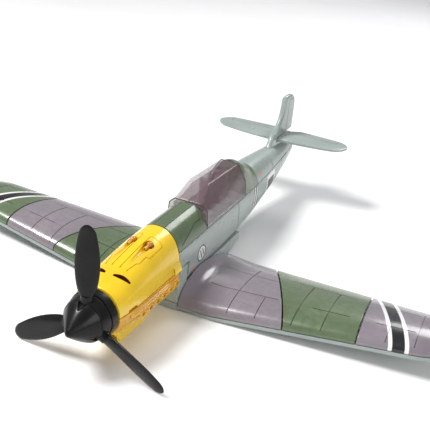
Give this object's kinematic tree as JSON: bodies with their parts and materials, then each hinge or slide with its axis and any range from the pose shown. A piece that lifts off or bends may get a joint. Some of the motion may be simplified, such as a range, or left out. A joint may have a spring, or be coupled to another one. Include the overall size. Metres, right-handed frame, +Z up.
{
  "type": "brick-built propeller plane model",
  "caption": "Low-wing single-propeller plane model of snap-together plastic bricks, with a turning three-blade propeller and covers that lift off.",
  "frame": {"origin": "on the flat belly, below the middle of the plane's length and span", "axes": "+X to the plane's port wing tip, +Y from nose to tail, +Z up"},
  "size_m": [0.228, 0.201, 0.0564],
  "materials": {
    "grey_plastic": "moulded, light grey",
    "green_plastic": "moulded, dark green",
    "violet_grey_plastic": "moulded, dark violet grey",
    "yellow_plastic": "moulded, warm yellow",
    "black_plastic": "moulded, glossy black",
    "tinted_clear_plastic": "clear, tinted violet grey",
    "red_plastic": "moulded, red"
  },
  "bodies": {
    "airframe": {"main_fuselage_brick": "grey_plastic", "wing_root_brick": "grey_plastic", "rear_fuselage_brick": "grey_plastic", "boom_upper_brick": "grey_plastic", "boom_lower_brick": "grey_plastic", "spine_brick": "grey_plastic", "exhaust_cowl": "yellow_plastic", "port_front_wing_plate": "grey_plastic", "port_rear_wing_plate": "grey_plastic", "starboard_front_wing_plate": "grey_plastic", "starboard_rear_wing_plate": "grey_plastic"},
    "propeller_group": {"spinner_cone": "black_plastic", "propeller": "black_plastic", "spinner_backplate": "black_plastic", "propeller_shaft": "red_plastic"},
    "upper_cowl": {"upper_cowl": "yellow_plastic"},
    "lower_cowl": {"lower_cowl": "yellow_plastic"},
    "forward_hood": {"forward_hood": "green_plastic"},
    "canopy": {"canopy": "tinted_clear_plastic"},
    "rear_hood": {"rear_hood": "green_plastic"},
    "spine_shell": {"spine_shell": "grey_plastic"},
    "belly_fairing": {"belly_fairing": "grey_plastic"},
    "tail_unit": {"tail_cone_upper": "grey_plastic", "tailplane": "grey_plastic"},
    "tail_cone_lower": {"tail_cone_lower": "grey_plastic"},
    "port_inner_wing_skin": {"port_inner_wing_skin": "violet_grey_plastic"},
    "port_middle_wing_skin": {"port_middle_wing_skin": "green_plastic"},
    "port_tip_wing_skin": {"port_tip_wing_skin": "violet_grey_plastic"},
    "port_wheel": {"port_wheel": "black_plastic"},
    "starboard_inner_wing_skin": {"starboard_inner_wing_skin": "green_plastic"},
    "starboard_middle_wing_skin": {"starboard_middle_wing_skin": "violet_grey_plastic"},
    "starboard_tip_wing_skin": {"starboard_tip_wing_skin": "green_plastic"},
    "starboard_wheel": {"starboard_wheel": "black_plastic"}
  },
  "joints": [
    {"name": "propeller_spin", "type": "hinge", "parent": "airframe", "child": "propeller_group", "pos_m": [0, -0.0835, 0.0192], "axis": [0, -1, 0], "continuous": true},
    {"name": "upper_cowl_lift", "type": "slide", "parent": "airframe", "child": "upper_cowl", "axis": [0, 0, 1], "range_m": [0, 0.018]},
    {"name": "forward_hood_lift", "type": "slide", "parent": "airframe", "child": "forward_hood", "axis": [0, 0, 1], "range_m": [0, 0.024]},
    {"name": "canopy_lift", "type": "slide", "parent": "airframe", "child": "canopy", "axis": [0, 0, 1], "range_m": [0, 0.03]},
    {"name": "rear_hood_lift", "type": "slide", "parent": "airframe", "child": "rear_hood", "axis": [0, 0, 1], "range_m": [0, 0.036]},
    {"name": "spine_shell_lift", "type": "slide", "parent": "airframe", "child": "spine_shell", "axis": [0, 0, 1], "range_m": [0, 0.03]},
    {"name": "tail_unit_lift", "type": "slide", "parent": "airframe", "child": "tail_unit", "axis": [0, 0, 1], "range_m": [0, 0.024]},
    {"name": "lower_cowl_drop", "type": "slide", "parent": "airframe", "child": "lower_cowl", "axis": [0, 0, -1], "range_m": [0, 0.018]},
    {"name": "belly_fairing_drop", "type": "slide", "parent": "airframe", "child": "belly_fairing", "axis": [0, 0, -1], "range_m": [0, 0.015]},
    {"name": "tail_cone_drop", "type": "slide", "parent": "airframe", "child": "tail_cone_lower", "axis": [0, 0, -1], "range_m": [0, 0.015]},
    {"name": "port_inner_skin_lift", "type": "slide", "parent": "airframe", "child": "port_inner_wing_skin", "axis": [0, 0, 1], "range_m": [0, 0.024]},
    {"name": "port_middle_skin_lift", "type": "slide", "parent": "airframe", "child": "port_middle_wing_skin", "axis": [0, 0, 1], "range_m": [0, 0.03]},
    {"name": "port_tip_skin_lift", "type": "slide", "parent": "airframe", "child": "port_tip_wing_skin", "axis": [0, 0, 1], "range_m": [0, 0.036]},
    {"name": "port_wheel_lift", "type": "slide", "parent": "airframe", "child": "port_wheel", "axis": [0, 0, 1], "range_m": [0, 0.012]},
    {"name": "starboard_inner_skin_lift", "type": "slide", "parent": "airframe", "child": "starboard_inner_wing_skin", "axis": [0, 0, 1], "range_m": [0, 0.024]},
    {"name": "starboard_middle_skin_lift", "type": "slide", "parent": "airframe", "child": "starboard_middle_wing_skin", "axis": [0, 0, 1], "range_m": [0, 0.03]},
    {"name": "starboard_tip_skin_lift", "type": "slide", "parent": "airframe", "child": "starboard_tip_wing_skin", "axis": [0, 0, 1], "range_m": [0, 0.036]},
    {"name": "starboard_wheel_lift", "type": "slide", "parent": "airframe", "child": "starboard_wheel", "axis": [0, 0, 1], "range_m": [0, 0.012]}
  ],
  "couplings": [
    {"joint": "port_wheel_lift", "follows": "port_inner_skin_lift", "ratio": 0.5},
    {"joint": "starboard_wheel_lift", "follows": "starboard_inner_skin_lift", "ratio": 0.5}
  ]
}
